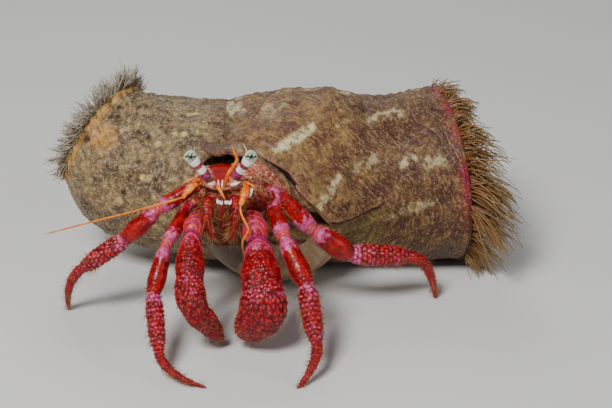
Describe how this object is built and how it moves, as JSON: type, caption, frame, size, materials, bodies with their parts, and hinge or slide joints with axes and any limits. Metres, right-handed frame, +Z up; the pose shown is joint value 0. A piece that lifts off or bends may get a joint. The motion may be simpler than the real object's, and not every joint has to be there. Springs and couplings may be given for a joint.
{
  "type": "hermit crab",
  "caption": "Life-size red hermit crab standing on four walking legs, two claws held low, its body in a globose shell sheathed by a pair of sea anemones.",
  "frame": {"origin": "on the floor, in the middle of the flat that the shell rests on", "axes": "+Z up, the crab faces -Y, its own right side at -X"},
  "size_m": [0.1406, 0.1228, 0.061],
  "materials": {
    "eye": "clear pale green over a black star",
    "eyestalk": "glossy white with red and purple bands",
    "feeler": "smooth translucent orange",
    "red_shell": "glossy hard red shield with pale specks",
    "pale_skin": "soft pink skin with pale hairs",
    "pink_limb": "glossy shell, red shading to lilac pink at the joints",
    "red_limb": "glossy red shell with rows of orange-tipped knobs and bristles",
    "sea_shell": "worn cream-brown chalky shell",
    "maroon_anemone": "wet wrinkled maroon-brown flesh with cream streaks and fine gold lines",
    "tan_anemone": "wet grey-tan flesh with round brown spots",
    "tentacles": "many fine wet orange-brown tentacles"
  },
  "bodies": {
    "root": {"cephalothorax": "pale_skin", "right_eye": "eye", "right_eyestalk": "eyestalk", "left_eye": "eye", "left_eyestalk": "eyestalk", "left_antennule": "feeler", "right_antennule": "feeler", "right_antenna_stem": "feeler", "right_antenna_whip": "feeler", "left_antenna_stem": "feeler", "left_antenna_whip": "feeler", "carapace_shield": "red_shell", "right_mouth_leg": "red_limb", "left_mouth_leg": "red_limb", "right_claw_ischium": "pink_limb", "right_claw_merus": "pink_limb", "right_claw_carpus": "red_limb", "right_claw_finger": "red_limb", "right_claw_palm": "red_limb", "left_claw_ischium": "pink_limb", "left_claw_merus": "pink_limb", "left_claw_carpus": "red_limb", "left_claw_finger": "red_limb", "left_claw_palm": "red_limb", "right_leg2_ischium": "pink_limb", "right_leg2_merus": "pink_limb", "right_leg2_carpus": "red_limb", "right_leg2_propodus": "red_limb", "right_leg2_dactylus": "red_limb", "right_leg3_ischium": "pink_limb", "right_leg3_merus": "pink_limb", "right_leg3_carpus": "red_limb", "right_leg3_propodus": "red_limb", "right_leg3_dactylus": "red_limb", "left_leg2_ischium": "pink_limb", "left_leg2_merus": "pink_limb", "left_leg2_carpus": "red_limb", "left_leg2_propodus": "red_limb", "left_leg2_dactylus": "red_limb", "left_leg3_ischium": "pink_limb", "left_leg3_merus": "pink_limb", "left_leg3_carpus": "red_limb", "left_leg3_propodus": "red_limb", "left_leg3_dactylus": "red_limb", "shell": "sea_shell", "left_anemone_column": "maroon_anemone", "right_anemone_column": "tan_anemone", "left_anemone_tentacles": "tentacles", "right_anemone_tentacles": "tentacles"}
  },
  "joints": []
}
